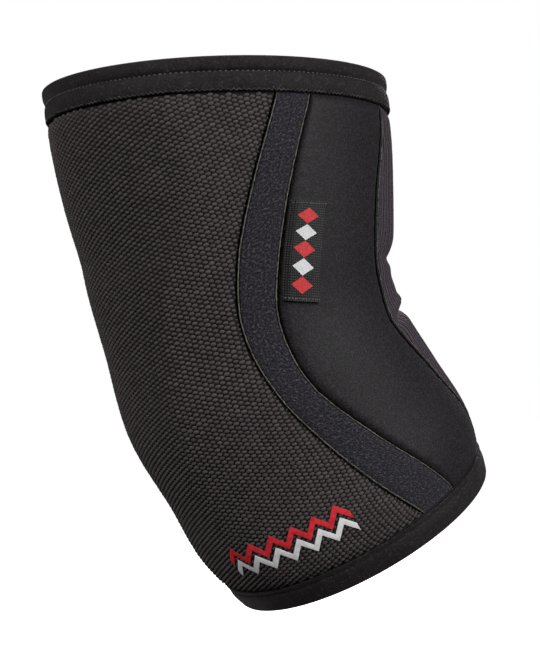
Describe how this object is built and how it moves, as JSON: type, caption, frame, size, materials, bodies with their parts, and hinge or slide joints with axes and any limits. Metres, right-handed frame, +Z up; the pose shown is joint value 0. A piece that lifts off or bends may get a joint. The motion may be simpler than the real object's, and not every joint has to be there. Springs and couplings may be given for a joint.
{
  "type": "elbow brace",
  "caption": "Pull-on neoprene elbow sleeve, bent as worn, with a textured back panel, plush side strips, smooth side panels, a ribbed crook panel and folded bindings.",
  "frame": {"origin": "the centre of the elbow, inside the hollow, where the centre lines of the upper arm and the forearm cross", "axes": "+Z up the upper arm to the upper rim, +X out of the crook of the elbow, +Y to the far side; the forearm end leans 29 degrees towards +X, and the label is on the -Y side"},
  "size_m": [0.1497, 0.1106, 0.174],
  "materials": {
    "textured_knit": "matt, raised knit",
    "plush_knit": "matt, brushed",
    "smooth_neoprene": "matt, smooth facing",
    "ribbed_knit": "matt, fine ribs",
    "binding_cloth": "matt, stitched",
    "label_ribbon": "woven ribbon"
  },
  "bodies": {
    "root": {"back_panel": "textured_knit", "side_strip_near": "plush_knit", "side_strip_far": "plush_knit", "side_panel_near": "smooth_neoprene", "side_panel_far": "smooth_neoprene", "crook_panel": "ribbed_knit", "upper_binding": "binding_cloth", "forearm_binding": "binding_cloth", "label": "label_ribbon"}
  },
  "joints": []
}
